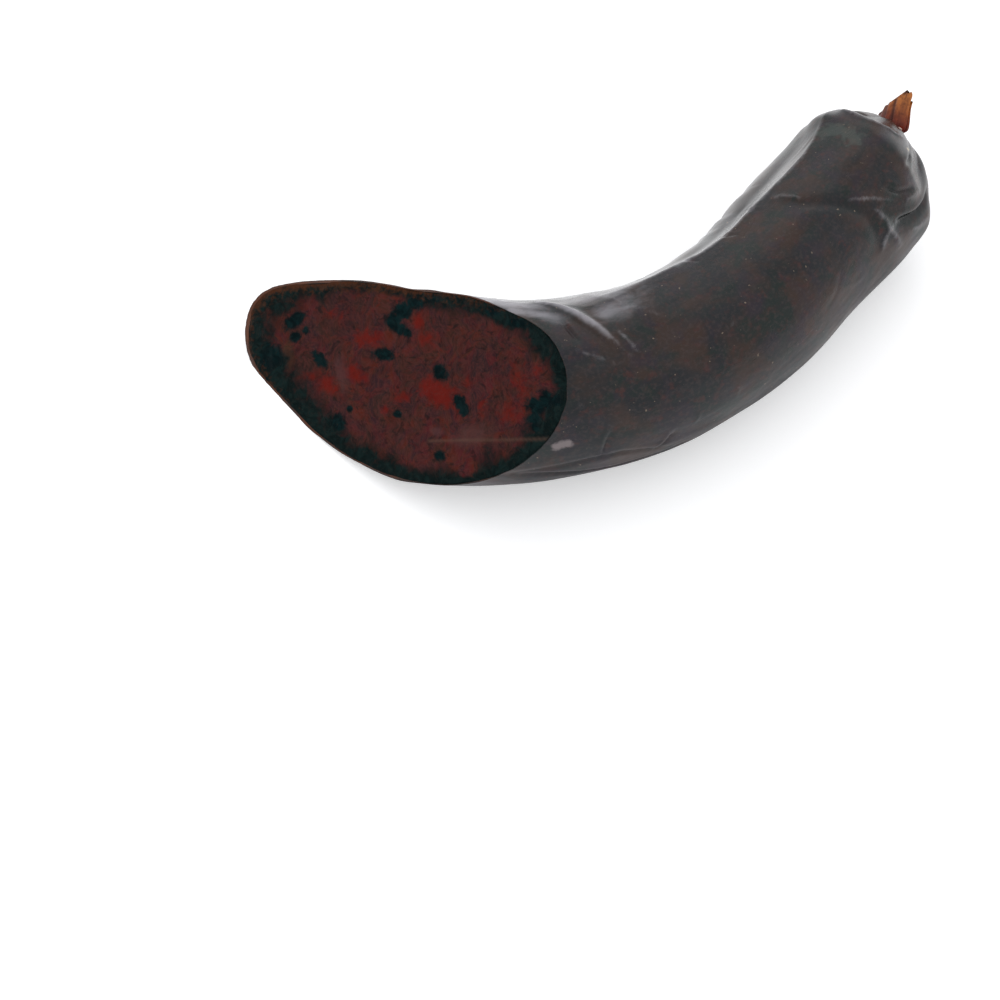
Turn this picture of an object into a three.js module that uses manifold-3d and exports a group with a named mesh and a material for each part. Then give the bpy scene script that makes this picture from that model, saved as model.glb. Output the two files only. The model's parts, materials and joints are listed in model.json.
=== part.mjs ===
// Half a cured sausage in a natural casing: cut on the slant at one end, gathered and tied at the other.
// It lies on its side in the bend it dried in. Millimetres and degrees, +Z up.
// Each piece is turned as a straight lathe form and then laid along the bent middle line.

import {
  Box3, BoxGeometry, BufferAttribute, BufferGeometry, Group, LatheGeometry, MathUtils, Matrix4, Mesh,
  MeshStandardMaterial, TorusGeometry, Vector2, Vector3,
} from 'three';
import { mergeVertices } from 'three/addons/utils/BufferGeometryUtils.js';
import Module from 'manifold-3d';

// The body
const CUT_RADIUS = 24; // half the thickness where the knife went through
const WAIST_RADIUS = 21; // half the thickness over the far part
const TAPER_LENGTH = 125; // from the cut to where the thickness stops falling
const BODY_LENGTH = 155.7; // along the middle line, from the cut to the neck
const BEND_RADIUS = 95.5; // of the middle line
const BEND_ANGLE = 59; // what is left of the bend beyond the cut
const BEND_LEAD = 21; // the bend begins this far before the cut
const REST_DEPTH = 0.8; // how far the underside is pressed flat by its own weight

// The cut
const CUT_HEADING = -7; // the way the middle line leaves the cut, seen from above
const FACE_HEADING = 219; // the way the cut face looks, seen from above
const FACE_RISE = 46; // how far the cut face looks up

// The casing, its gathered end and its dried tail
const CASING_WALL = 0.6;
const DOME_LENGTH = 15; // over which the body closes to the neck
const NECK_RADIUS = 2.6;
const NECK_LENGTH = 2.4;
const NECK_LIFT = 5; // the neck sits above the middle line
const NECK_SWERVE = 1.6; // and towards the inside of the bend
const TAIL_LENGTH = 6.8; // measured straight ahead, before its climb
const TAIL_ROOT = new Vector2(4.1, 2); // half width and half thickness at the neck
const TAIL_TIP = new Vector2(1.4, 0.7);
const PLEATS = 5; // folds round the tail
const PLEAT_DEPTH = 0.14; // share of the tail's own half width

// The hollow that runs along the inside of the bend
const HOLLOW_DEPTH = 1;
const HOLLOW_MIDDLE = 132; // degrees round the body from its outer side, over the top
const HOLLOW_WIDTH = 20; // degrees to either side
const HOLLOW_START = 50; // along the middle line
const HOLLOW_END = 146;

// The thread
const THREAD_RADIUS = 0.4;

// Fits and fineness
const FIT_GAP = 0.3; // between pieces that touch
const SPARE_LENGTH = 80; // of uncut body, taken away again by the knife
const SIDES = 36; // facets round the body
const BODY_STEPS = 30;
const DOME_STEPS = 7;
const TAIL_STEPS = 5;
const THREAD_SIDES = 8;
const KNIFE_REACH = 200; // edge of the block that the knife takes away

const { degToRad, clamp, lerp, smoothstep } = MathUtils;
const wasm = await Module();
wasm.setup();

const domeStart = BODY_LENGTH - DOME_LENGTH;
const neckEnd = BODY_LENGTH + NECK_LENGTH;
const tailEnd = neckEnd + TAIL_LENGTH;

// Half the thickness of the body before it starts to close.
function bodyRadius(along) {
  const share = Math.max(1 - along / TAPER_LENGTH, 0);
  return WAIST_RADIUS + (CUT_RADIUS - WAIST_RADIUS) * share ** 2;
}

// Where the middle line runs: its point in plan, its heading and the outward direction, away from the bend.
function middleLine(along) {
  const bendLength = BEND_RADIUS * degToRad(BEND_ANGLE);
  const start = degToRad(CUT_HEADING);
  const bent = clamp(along, -BEND_LEAD, bendLength);
  const heading = start + bent / BEND_RADIUS;
  const straight = along - bent;
  const ahead = new Vector3(Math.cos(heading), Math.sin(heading), 0);
  const point = new Vector3(
    BEND_RADIUS * (Math.sin(heading) - Math.sin(start)),
    BEND_RADIUS * (Math.cos(start) - Math.cos(heading)),
    0,
  );
  return { point: point.addScaledVector(ahead, straight), outward: new Vector3(ahead.y, -ahead.x, 0) };
}

// An offset that grows with a power over the dome and runs on straight from there, without a kink.
function drift(along, amount, power) {
  const share = Math.max(along - domeStart, 0) / DOME_LENGTH;
  return share < 1 ? amount * share ** power : amount * (1 + power * (share - 1));
}

// How far the skin is drawn in by the hollow at a place along and round the body.
function hollow(along, round) {
  const middle = degToRad(HOLLOW_MIDDLE);
  const across = clamp(Math.abs(round - middle) / degToRad(HOLLOW_WIDTH), 0, 1);
  const ends = smoothstep(along, HOLLOW_START, HOLLOW_START + DOME_LENGTH)
    * (1 - smoothstep(along, HOLLOW_END - DOME_LENGTH, HOLLOW_END));
  return HOLLOW_DEPTH * ends * Math.cos(across * Math.PI / 2) ** 2;
}

// The tail is wider than it is thick, and pleated.
function tailShape(along, radius, round) {
  const share = clamp((along - neckEnd) / TAIL_LENGTH, 0, 1);
  const joining = smoothstep(along, BODY_LENGTH, neckEnd);
  const pleat = 1 + PLEAT_DEPTH * joining * Math.cos(PLEATS * round);
  const width = lerp(1, lerp(TAIL_ROOT.x, TAIL_TIP.x, share) / NECK_RADIUS, joining) * pleat;
  const thickness = lerp(1, lerp(TAIL_ROOT.y, TAIL_TIP.y, share) / NECK_RADIUS, joining) * pleat;
  return new Vector2(radius * width * Math.cos(round), radius * thickness * Math.sin(round));
}

// Lays a point of the straight form along the middle line. The inset is how deep its surface lies in the body.
function lay(along, radius, round, inset) {
  const { point, outward } = middleLine(along);
  const section = tailShape(along, radius, round);
  const drawnIn = 1 - hollow(along, round) / bodyRadius(along);
  const across = section.x * drawnIn - drift(along, NECK_SWERVE, 2);
  const height = bodyRadius(along) - REST_DEPTH + section.y * drawnIn + drift(along, NECK_LIFT, 3);
  return point.addScaledVector(outward, across).setZ(Math.max(height, inset));
}

// A closed geometry as a solid that can be cut: shared corners merged, empty triangles dropped.
function toSolid(geometry) {
  const bare = geometry.clone();
  bare.deleteAttribute('normal');
  bare.deleteAttribute('uv');
  const merged = mergeVertices(bare, 1e-4);
  const corners = [...merged.index.array];
  const triVerts = [];
  for (let i = 0; i < corners.length; i += 3) {
    const [a, b, c] = corners.slice(i, i + 3);
    if (a !== b && b !== c && c !== a) triVerts.push(a, b, c);
  }
  const mesh = new wasm.Mesh({
    numProp: 3,
    vertProperties: new Float32Array(merged.attributes.position.array),
    triVerts: new Uint32Array(triVerts),
  });
  return new wasm.Manifold(mesh);
}

// A solid back as a geometry.
function toGeometry(solid) {
  const { vertProperties, triVerts } = solid.getMesh();
  const geometry = new BufferGeometry();
  geometry.setAttribute('position', new BufferAttribute(vertProperties, 3));
  geometry.setIndex(new BufferAttribute(triVerts, 1));
  geometry.computeVertexNormals();
  return geometry;
}

// Turns a profile of (radius, along) points, then lays it along the middle line.
function turned(profile, insetOf) {
  const geometry = new LatheGeometry(profile, SIDES);
  const position = geometry.attributes.position;
  for (let i = 0; i < position.count; i += 1) {
    const straight = new Vector3().fromBufferAttribute(position, i);
    const radius = Math.hypot(straight.x, straight.z);
    const spot = i % profile.length;
    const round = Math.atan2(straight.z, straight.x);
    const placed = lay(straight.y, radius, round, insetOf(spot));
    position.setXYZ(i, placed.x, placed.y, placed.z);
  }
  return geometry;
}

// The body's profile from its uncut start to its far end on the axis, as deep in the body as the inset.
function bodyProfile(inset, endRadius) {
  const points = [];
  for (let i = 0; i < BODY_STEPS; i += 1) {
    const along = lerp(-SPARE_LENGTH, domeStart, i / BODY_STEPS);
    points.push(new Vector2(bodyRadius(along) - inset, along));
  }
  const dome = DOME_LENGTH - inset * 2;
  const widest = bodyRadius(domeStart) - inset;
  for (let i = 0; i <= DOME_STEPS; i += 1) {
    const turn = (i / DOME_STEPS) * Math.PI / 2;
    points.push(new Vector2(lerp(endRadius, widest, Math.cos(turn)), domeStart + dome * Math.sin(turn)));
  }
  return points;
}

// The knife takes away everything in front of the cut face.
function cutOnTheSlant(geometry) {
  const rise = degToRad(FACE_RISE);
  const heading = degToRad(FACE_HEADING);
  const facing = new Vector3(
    Math.cos(rise) * Math.cos(heading),
    Math.cos(rise) * Math.sin(heading),
    Math.sin(rise),
  );
  const middle = middleLine(0).point.setZ(bodyRadius(0) - REST_DEPTH);
  const block = new BoxGeometry(KNIFE_REACH, KNIFE_REACH, KNIFE_REACH);
  const turn = new Matrix4().lookAt(facing, new Vector3(), new Vector3(0, 0, 1));
  block.applyMatrix4(turn);
  const centre = middle.addScaledVector(facing, KNIFE_REACH / 2);
  block.translate(centre.x, centre.y, centre.z);
  return toGeometry(toSolid(geometry).subtract(toSolid(block)));
}

// The meat: one mass, bound as it cured.
function makeFilling() {
  const inset = CASING_WALL + FIT_GAP;
  const profile = [new Vector2(0, -SPARE_LENGTH), ...bodyProfile(inset, 0)];
  return cutOnTheSlant(turned(profile, () => inset));
}

// The casing: skin, closed end, neck and dried tail in one length of gut, open where it was cut.
function makeCasing() {
  const tail = [];
  for (let i = 0; i <= TAIL_STEPS; i += 1) {
    tail.push(new Vector2(NECK_RADIUS, lerp(neckEnd, tailEnd, i / TAIL_STEPS)));
  }
  tail.push(new Vector2(0, tailEnd));
  const inside = bodyProfile(CASING_WALL, 0).reverse();
  const outside = [...bodyProfile(0, NECK_RADIUS), ...tail];
  const insetOf = (spot) => (spot < inside.length ? CASING_WALL : 0);
  return cutOnTheSlant(turned([...inside, ...outside], insetOf));
}

// One turn of thread, tight round the neck.
function makeThread() {
  const ring = new TorusGeometry(NECK_RADIUS + FIT_GAP + THREAD_RADIUS, THREAD_RADIUS, THREAD_SIDES, SIDES);
  const position = ring.attributes.position;
  for (let i = 0; i < position.count; i += 1) {
    const flat = new Vector3().fromBufferAttribute(position, i);
    const radius = Math.hypot(flat.x, flat.y);
    const along = BODY_LENGTH + FIT_GAP + THREAD_RADIUS - flat.z;
    const placed = lay(along, radius, Math.atan2(flat.y, flat.x), 0);
    position.setXYZ(i, placed.x, placed.y, placed.z);
  }
  return toGeometry(toSolid(ring));
}

const curedMeat = new MeshStandardMaterial({ color: 0x47161a, roughness: 0.55, metalness: 0 });
const driedGut = new MeshStandardMaterial({ color: 0x3e3d42, roughness: 0.35, metalness: 0 });
const cottonThread = new MeshStandardMaterial({ color: 0xc9b4a8, roughness: 0.9, metalness: 0 });

function piece(name, geometry, material) {
  const mesh = new Mesh(geometry, material);
  mesh.name = name;
  return mesh;
}

const sausage = new Group();
sausage.add(piece('filling', makeFilling(), curedMeat));
sausage.add(piece('casing', makeCasing(), driedGut));
sausage.add(piece('tie_thread', makeThread(), cottonThread));

// The origin is under the middle of the whole, on the surface it lies on.
const box = new Box3().setFromObject(sausage);
const centre = box.getCenter(new Vector3());
sausage.position.set(-centre.x, -centre.y, -box.min.z);

export default sausage;
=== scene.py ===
"""Half a cured sausage in its natural casing: cut on the slant at one end, gathered and tied at the other.

Sizes are in millimetres and degrees where they describe the sausage, and become metres in the meshes. A
place on the skin is given by how far it lies along the middle line from the cut, and how far round the body:
0 is the outside of the bend, 90 the top, 180 the inside of the bend and -90 the side it lies on.
"""

import json
import math

import bmesh
import bpy
import numpy as np
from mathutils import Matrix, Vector


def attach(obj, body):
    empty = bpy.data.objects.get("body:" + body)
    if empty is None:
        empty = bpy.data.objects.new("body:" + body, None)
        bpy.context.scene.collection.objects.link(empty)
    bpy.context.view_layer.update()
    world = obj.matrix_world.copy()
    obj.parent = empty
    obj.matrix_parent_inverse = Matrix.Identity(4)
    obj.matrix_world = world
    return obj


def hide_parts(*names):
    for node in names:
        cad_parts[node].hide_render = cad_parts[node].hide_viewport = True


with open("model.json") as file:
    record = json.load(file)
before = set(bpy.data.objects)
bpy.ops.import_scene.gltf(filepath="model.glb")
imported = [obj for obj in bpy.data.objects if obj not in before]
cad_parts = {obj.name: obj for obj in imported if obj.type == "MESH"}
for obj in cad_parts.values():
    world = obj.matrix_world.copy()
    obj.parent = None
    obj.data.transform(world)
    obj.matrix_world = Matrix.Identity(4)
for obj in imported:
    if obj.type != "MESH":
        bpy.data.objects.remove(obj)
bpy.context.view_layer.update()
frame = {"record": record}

MM = 0.001
TURN = 2 * math.pi

# ---------------------------------------------------------------- the body's own sizes
CUT_RADIUS = 24.0
WAIST_RADIUS = 21.0
TAPER_LENGTH = 125.0
BODY_LENGTH = 155.7
DOME_LENGTH = 15.0
DOME_START = BODY_LENGTH - DOME_LENGTH
BEND_RADIUS = 95.5
BEND_LENGTH = BEND_RADIUS * math.radians(59)
BEND_LEAD = 21.0
CUT_HEADING = math.radians(-7)
REST_DEPTH = 0.8
SETTLE_EDGE = 0.25  # how soon the body turns up from the surface it rests on
NECK_RADIUS = 2.6
NECK_LIFT = 5.0
NECK_SWERVE = 1.6

# ---------------------------------------------------------------- the knife cut, from the frame
cut_mount = {m["name"]: m for m in frame["record"]["mounts"]}["cut_face"]
cut_middle = np.array(cut_mount["pos_m"]) / MM
cut_facing = np.array(cut_mount["axis"])
cut_facing /= np.linalg.norm(cut_facing)
cut_across = np.cross((0, 0, 1), cut_facing)
cut_across /= np.linalg.norm(cut_across)
cut_up = np.cross(cut_facing, cut_across)
CUT_SPAN = (-75.0, 45.0)  # the cut meets every line of the skin between these places along it
CUT_HALVINGS = 26

# ---------------------------------------------------------------- fineness of the meshes
SIDES = 264
SKIN_STEPS = 250
DOME_STEPS = 42
LINING_STEPS = 24
LINING_DOME_STEPS = 6
FACE_RINGS = 130
LINING_EDGE = (0.4, 1.0, 2.2, 4.5, 8.0)  # the first steps of a hidden surface behind the rim


# ---------------------------------------------------------------- form
def hump(offset, reach, power=2):
    """1 where the offset is 0, falling off smoothly on both sides over a reach."""
    return np.exp(-((offset / reach) ** power))


def near_side(around, middle, reach):
    """1 on one side of the body, falling off smoothly round it over a reach in degrees."""
    return hump((around - middle + 180) % 360 - 180, reach)


def body_radius(along):
    """Half the thickness before the body starts to close."""
    return WAIST_RADIUS + (CUT_RADIUS - WAIST_RADIUS) * np.maximum(1 - along / TAPER_LENGTH, 0) ** 2


def closing_radius(along, around):
    """Half the thickness, closed to the neck over the tied end, which is fuller low on its outer side."""
    share = np.clip((along - DOME_START) / DOME_LENGTH, 0, 1)
    fullness = 1.45 + 0.9 * near_side(around, -5, 28)
    return NECK_RADIUS + (body_radius(along) - NECK_RADIUS) * np.sqrt(1 - share ** fullness)


def drift(along, amount, power):
    """An offset that grows with a power over the dome and runs on straight from there."""
    share = np.maximum(along - DOME_START, 0) / DOME_LENGTH
    return np.where(share < 1, amount * share ** power, amount * (1 + power * (share - 1)))


def lay(along, across, height):
    """Lays a place in the straight sausage along the bent middle line."""
    bent = np.clip(along, -BEND_LEAD, BEND_LENGTH)
    heading = CUT_HEADING + bent / BEND_RADIUS
    straight = along - bent
    x = BEND_RADIUS * (np.sin(heading) - math.sin(CUT_HEADING)) + straight * np.cos(heading)
    y = BEND_RADIUS * (math.cos(CUT_HEADING) - np.cos(heading)) + straight * np.sin(heading)
    outward = across - drift(along, NECK_SWERVE, 2)
    z = body_radius(along) - REST_DEPTH + height + drift(along, NECK_LIFT, 3)
    return np.stack([
        cut_middle[0] + x + outward * np.sin(heading),
        cut_middle[1] + y - outward * np.cos(heading),
        z,
    ], axis=-1)


def ripple(places, size, seed, waves=28):
    """Smooth unevenness about 1 high, as waves in all directions, with bumps of about the given size."""
    draw = np.random.default_rng(seed)
    ways = draw.normal(size=(waves, 3))
    ways *= (TURN / size * draw.uniform(0.6, 1.5, waves) / np.linalg.norm(ways, axis=1))[:, None]
    return np.sin(places @ ways.T + draw.uniform(0, TURN, waves)).sum(axis=1) * math.sqrt(2 / waves)


def smooth(value, low, high):
    """0 below low, 1 above high, eased between."""
    share = np.clip((value - low) / (high - low), 0, 1)
    return share * share * (3 - 2 * share)


def nearest_on_route(along, around, route):
    """Distance in mm to a route of (along, around) places, its sign by side, and the share of it passed."""
    stops = np.array([(s, math.radians(a) * WAIST_RADIUS) for s, a in route])
    middle = np.radians(np.mean([a for _, a in route]))
    turned = (np.radians(around) - middle + math.pi) % TURN - math.pi + middle
    here = np.stack([along, turned * WAIST_RADIUS], axis=-1)
    lengths = np.linalg.norm(np.diff(stops, axis=0), axis=1)
    passed = np.concatenate([[0], np.cumsum(lengths)])
    best = np.full(len(along), np.inf)
    signed = np.zeros(len(along))
    share = np.zeros(len(along))
    for i, length in enumerate(lengths):
        way = (stops[i + 1] - stops[i]) / length
        off = here - stops[i]
        run = np.clip(off @ way, 0, length)
        apart = np.linalg.norm(off - run[:, None] * way, axis=1)
        closer = apart < best
        best = np.where(closer, apart, best)
        side = np.sign(way[0] * off[:, 1] - way[1] * off[:, 0])
        signed = np.where(closer, apart * side, signed)
        share = np.where(closer, (passed[i] + run) / passed[-1], share)
    return best, signed, share


# Folds pressed into the skin: route, depth (below 0 stands up), half width, the lip thrown up on its left,
# and how its slopes run (2 rounded, 1 sharp)
FOLDS = [
    # the ridge along the inside of the bend, and the hollow beyond it
    ([(45, 119), (58, 120), (66, 122), (73, 122.5), (79, 120), (88, 121), (97, 121), (106, 120), (116, 119),
      (125.5, 119.5), (133, 124), (138, 127), (142, 130), (147, 136)], -0.8, 1.4, 0.0, 1.0),
    ([(52, 142), (66, 139), (84, 137), (108, 137), (124, 137), (136, 142), (144, 150)], 1.7, 4.4, 0.0, 2),
    # the fold right across the far part
    ([(105.5, 108), (107, 102), (110.7, 90), (115, 78), (118.5, 66), (121, 52), (120.5, 40), (119.8, 32)],
     0.85, 2.2, 0.0, 2),
    ([(107.5, 114), (109.5, 107), (111, 100), (112, 93)], -0.45, 0.8, 0.0, 1.3),
    ([(118.5, 71), (121, 66), (124.6, 58), (130, 45)], -0.5, 1.3, 0.0, 1.5),
    # the three-armed pucker beside it
    ([(123, 54), (124, 47), (124.7, 38), (124.6, 31), (126.2, 17), (127, 12)], -0.8, 0.9, 0.0, 1.1),
    ([(124.6, 31), (122, 27), (119.5, 22)], -0.5, 0.7, 0.0, 1.1),
    ([(124.6, 31), (127.5, 30), (130, 28)], -0.5, 0.8, 0.0, 1.1),
    # the deep crease on the outer side of the tied end
    ([(127, 31), (129.5, 28), (134.3, 21.5), (138, 18.5), (141.5, 16.5), (146, 15)], 1.6, 0.95, 0.35, 1.8),
    ([(129, 18), (135, 10), (139.5, 7), (144, 5)], -0.5, 1.7, 0.0, 1.4),
    ([(130, 57), (131.4, 53), (133.3, 45.5), (138, 38)], 0.9, 0.8, 0.35, 1.7),
    ([(133, 38), (138, 33), (142, 29)], -0.5, 1.3, 0.0, 1.3),
    ([(141.5, 54), (144, 53), (147.5, 53)], 1.0, 0.8, 0.4, 1.7),
    # the shoulder of the tied end
    ([(147, 137), (145.7, 122), (145, 107), (145.9, 91), (147, 84)], -0.9, 1.2, 0.0, 1.0),
    ([(148, 120), (147.6, 112), (147.6, 104)], 0.8, 0.8, 0.0, 1.4),
    ([(150, 64), (148.6, 71), (147.6, 78), (147.4, 86)], -0.6, 0.8, 0.0, 1.0),
    # pulls in the skin behind the top of the cut
    ([(27.5, 130), (30, 124), (33.5, 116), (36.7, 107), (39.6, 97), (42.2, 86), (44.3, 75), (45.5, 69)],
     -1.3, 1.7, 0.0, 1.0),
    ([(34, 104), (37.5, 94), (40, 85), (42.5, 74)], 0.5, 1.0, 0.0, 2),
    ([(44.5, 90), (46.3, 80), (48.6, 64)], -0.4, 0.8, 0.0, 1.2),
    ([(32.6, 104), (33.6, 94), (35, 84)], 0.7, 0.6, 0.2, 1.4),
    ([(33, 82), (37, 73), (43, 64)], -0.3, 1.6, 0.0, 1.4),
    ([(40, 142), (44, 126), (49.6, 108), (54, 96), (58, 84)], -0.28, 3.0, 0.0, 1.6),
    # slack along the foot of the body
    ([(18, -5), (24, -9), (28, -12), (33, -17), (38, -19.5), (45, -21), (50, -22), (55, -17)],
     1.2, 0.9, 0.15, 1.6),
    ([(16, -3), (26, -1), (34, 1), (40, 1), (46, -5), (51, -12)], 0.5, 0.7, 0.1, 1.5),
    ([(36, 1), (36.5, 8), (37.2, 16), (38.4, 23)], 0.5, 0.6, 0.25, 1.3),
    ([(48, -8), (50.2, -3), (51.6, 5)], 0.5, 0.6, 0.25, 1.3),
    ([(56.5, 5), (57.5, 10), (57.5, 15)], -0.22, 0.35, 0.0, 1.2),
    ([(67, 10), (67.6, 15), (67.8, 21)], -0.22, 0.35, 0.0, 1.2),
    # nicks across the ridge
    ([(73, 125), (75.5, 120), (77, 114)], 0.25, 0.5, 0.12, 1.5),
    ([(88, 124), (90.5, 119), (92, 113)], 0.3, 0.5, 0.15, 1.5),
    ([(100, 124), (102, 118), (103, 112)], 0.2, 0.5, 0.1, 1.5),
    ([(69, 61.5), (71, 61), (73, 58)], -0.16, 0.35, 0.0, 1.3),
]

# Broad swellings and flats: along, around, reach along, reach around in degrees, height
SWELLINGS = [
    (-45, 178, 12, 17, -1.0), (-58, -147, 9, 16, 0.35), (8, 140, 16, 16, 0.9), (148, 40, 8, 34, -1.6),
    (144, 27, 6, 18, -1.4), (142, 142, 6, 20, 1.8), (118, -8, 24, 24, 0.9), (140.5, -4, 5, 13, 0.7),
    (148, 0, 4, 17, -1.2), (151, 70, 5, 44, -0.5), (147, 112, 4, 22, 0.7),
]

# Small rings left by air under the skin, each with a painted highlight: along, around, radius
BUBBLES = [(84.5, 111, 1.3), (76.5, 22, 0.9), (57.5, 60, 0.45), (97, 98, 0.5), (40, 39, 0.4)]

INNER_BEND = (12.0, 112.0)  # where the inside of the bend is squeezed, along the middle line
SQUEEZE_COUNT = 17
SLACK_COUNT = 34
GATHER_START = 130.0


def chance_folds():
    """The many small folds whose places don't matter: squeezed ones inside the bend, slack ones all over."""
    draw = np.random.default_rng(11)
    folds = []
    for i in range(SQUEEZE_COUNT):
        along = np.interp(i + draw.uniform(-0.3, 0.3), (0, SQUEEZE_COUNT - 1), INNER_BEND)
        around = draw.uniform(172, 214)
        reach = draw.uniform(14, 34)
        lean = draw.uniform(-3, 3)
        middle = (along + draw.uniform(-1, 1), around)
        depth = draw.uniform(0.25, 0.6)
        width = draw.uniform(1.1, 1.9)
        lip = draw.uniform(0.1, 0.3)
        route = [(along - lean, around - reach), middle, (along + lean, around + reach)]
        folds.append((route, depth, width, lip, 2))
    for _ in range(SLACK_COUNT):
        along = draw.uniform(0, 135)
        around = draw.uniform(0, 360)
        length = draw.uniform(4, 13)
        way = draw.normal(0, 0.5)
        run, rise = length * math.cos(way), math.degrees(length * math.sin(way) / WAIST_RADIUS)
        bow = math.degrees(draw.uniform(-1.2, 1.2) / WAIST_RADIUS)
        middle = (along + run / 2, around + rise / 2 + bow)
        depth = draw.uniform(0.05, 0.16) * draw.choice([-1, 1])
        width = draw.uniform(0.45, 0.9)
        folds.append(([(along, around), middle, (along + run, around + rise)], depth, width, 0.0, 1.6))
    return folds


ALL_FOLDS = FOLDS + chance_folds()


def straight_places(along, around):
    """The surface of the sausage before it was bent, which the patterns follow."""
    angle = np.radians(around)
    radius = body_radius(along)
    return np.stack([along, radius * np.cos(angle), radius * np.sin(angle)], axis=-1)


def behind_cut(along, around):
    """How far a place on the plain form lies behind the plane of the cut."""
    angle = np.radians(around)
    radius = body_radius(along)
    return (cut_middle - lay(along, radius * np.cos(angle), radius * np.sin(angle))) @ cut_facing


def gathers(along, around):
    """The pleats that run up to the neck, deeper towards it, and the flats between them."""
    angle = np.radians(around)
    share = smooth(along, GATHER_START, BODY_LENGTH - 1)
    wander = 0.35 * np.sin(2 * angle + 1.1) + 0.25 * np.sin(3 * angle + along / 9)
    broad = np.abs(np.sin(3.5 * angle + wander + 0.4)) - 0.64
    fine = np.abs(np.sin(8.5 * angle + 2.2 * wander + along / 14)) - 0.64
    closed = closing_radius(along, around) / body_radius(along)
    return share * (0.9 * broad * closed + 0.55 * fine * (0.25 + 0.75 * closed) * smooth(along, 138, 152))


def swell(along, around):
    """The broad swellings and flats, which the filling follows as well."""
    height = np.zeros(np.broadcast(along, around).shape)
    for at, turn, reach_along, reach_around, high in SWELLINGS:
        height += high * near_side(around, turn, reach_around) * hump(along - at, reach_along)
    return height


def relief(along, around):
    """How far the skin stands out from the plain form, with the painted highlight on its crests, lips and
    rings and the painted shade in its creases.
    """
    shape = along.shape
    along, around = along.ravel(), around.ravel()
    places = straight_places(along, around)
    height = 0.20 * ripple(places * (0.6, 1, 1), 26, 3) + 0.055 * ripple(places * (0.6, 1, 1), 9, 4)
    height += 0.014 * ripple(places * (0.4, 1, 1), 3.2, 5)
    height *= 0.3 + 0.7 * smooth(behind_cut(along, around), 2, 18)
    height += swell(along, around)
    ridge_highlight = np.zeros_like(height)
    dark = np.zeros_like(height)
    for route, depth, width, lip, power in ALL_FOLDS:
        apart, side, share = nearest_on_route(along, around, route)
        taper = np.sqrt(np.clip(np.sin(np.pi * np.clip(share, 0.02, 0.98)), 0, 1))
        pressed = taper * hump(apart, width, power)
        thrown = taper * hump(side - 1.7 * width, 1.2 * width)
        height += lip * thrown - depth * pressed
        # painted highlight along the lip thrown up beside the fold
        ridge_highlight += thrown * lip * 0.6
        # a fold that stands up gets a painted highlight along its crest
        if depth < 0:
            ridge_highlight += taper * min(1, -1.6 * depth) * hump(apart, max(0.45 * width, 0.7), 1.6)
        else:
            # painted shade in the valley of the pressed fold
            dark += taper * hump(apart, 0.7 * width) * min(1, depth) ** 2
    for at, turn, radius in BUBBLES:
        apart, _, _ = nearest_on_route(along, around, [(at - 0.01, turn), (at + 0.01, turn)])
        ring = hump(apart - radius, 0.3)
        height += 0.05 * ring
        # painted highlight on the ring
        ridge_highlight += 0.3 * ring
    height += gathers(along, around)
    return height.reshape(shape), ridge_highlight.reshape(shape), dark.reshape(shape)


def settle(height):
    """Presses what would lie below the surface flat onto it, with a rounded edge."""
    return 0.5 * (height + np.sqrt(height ** 2 + SETTLE_EDGE ** 2))


def skin_places(along, around, inset=0.0, stand=None):
    """Where the skin lies, at a depth below its outer surface."""
    if stand is None:
        stand = relief(along, around)[0]
    angle = np.radians(around)
    plain = closing_radius(along, around)
    radius = np.maximum(plain + stand * np.minimum(1, plain / 9) - inset, 0.05)
    placed = lay(along, radius * np.cos(angle), radius * np.sin(angle))
    placed[..., 2] = settle(placed[..., 2] - inset) + inset
    return placed


def rim_along(around, inset=0.0):
    """How far along each line of the skin the knife went through it, found by halving."""
    low, high = np.full(around.shape, CUT_SPAN[0]), np.full(around.shape, CUT_SPAN[1])
    for _ in range(CUT_HALVINGS):
        middle = (low + high) / 2
        before = (skin_places(middle, around, inset) - cut_middle) @ cut_facing > 0
        low, high = np.where(before, middle, low), np.where(before, high, middle)
    return (low + high) / 2


# ---------------------------------------------------------------- mesh helpers
def straight_tube(sides, steps):
    """A straight tube of unit radius and length: sides round it, steps along it, each end a flat cap."""
    bm = bmesh.new()
    bmesh.ops.create_cone(bm, cap_ends=True, segments=sides, radius1=1, radius2=1, depth=1)
    lengthwise = [e for e in bm.edges if abs(e.verts[0].co.z - e.verts[1].co.z) > 0.5]
    bmesh.ops.subdivide_edges(bm, edges=lengthwise, cuts=steps - 1)
    return bm


def to_object(bm, name, material, smooth_faces=True):
    """A finished bmesh as an object at the origin."""
    mesh = bpy.data.meshes.new(name)
    bm.to_mesh(mesh)
    bm.free()
    mesh.materials.append(material)
    mesh.polygons.foreach_set("use_smooth", [smooth_faces] * len(mesh.polygons))
    piece = bpy.data.objects.new(name, mesh)
    bpy.context.scene.collection.objects.link(piece)
    return piece


def tube_grid(bm, steps):
    """The tube's vertices as arrays: which step each is on, and its angle round the tube in degrees."""
    spots = np.array([v.co[:] for v in bm.verts])
    step = np.rint((spots[:, 2] + 0.5) * steps).astype(int)
    around = np.degrees(np.arctan2(spots[:, 1], spots[:, 0]))
    return step, around


def write_places(bm, places):
    """Moves the vertices to places in mm."""
    for vert, place in zip(bm.verts, places * MM):
        vert.co = place


def ringed_tube(places):
    """A closed tube through rings of places, and which vertex lies at each of them, ring after ring."""
    rings, sides = places.shape[:2]
    bm = straight_tube(sides, rings - 1)
    step, around = tube_grid(bm, rings - 1)
    order = np.lexsort((around, step))
    by_vertex = np.zeros((order.size, 3))
    by_vertex[order] = places.reshape(-1, 3)
    write_places(bm, by_vertex)
    return bm, order


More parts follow.
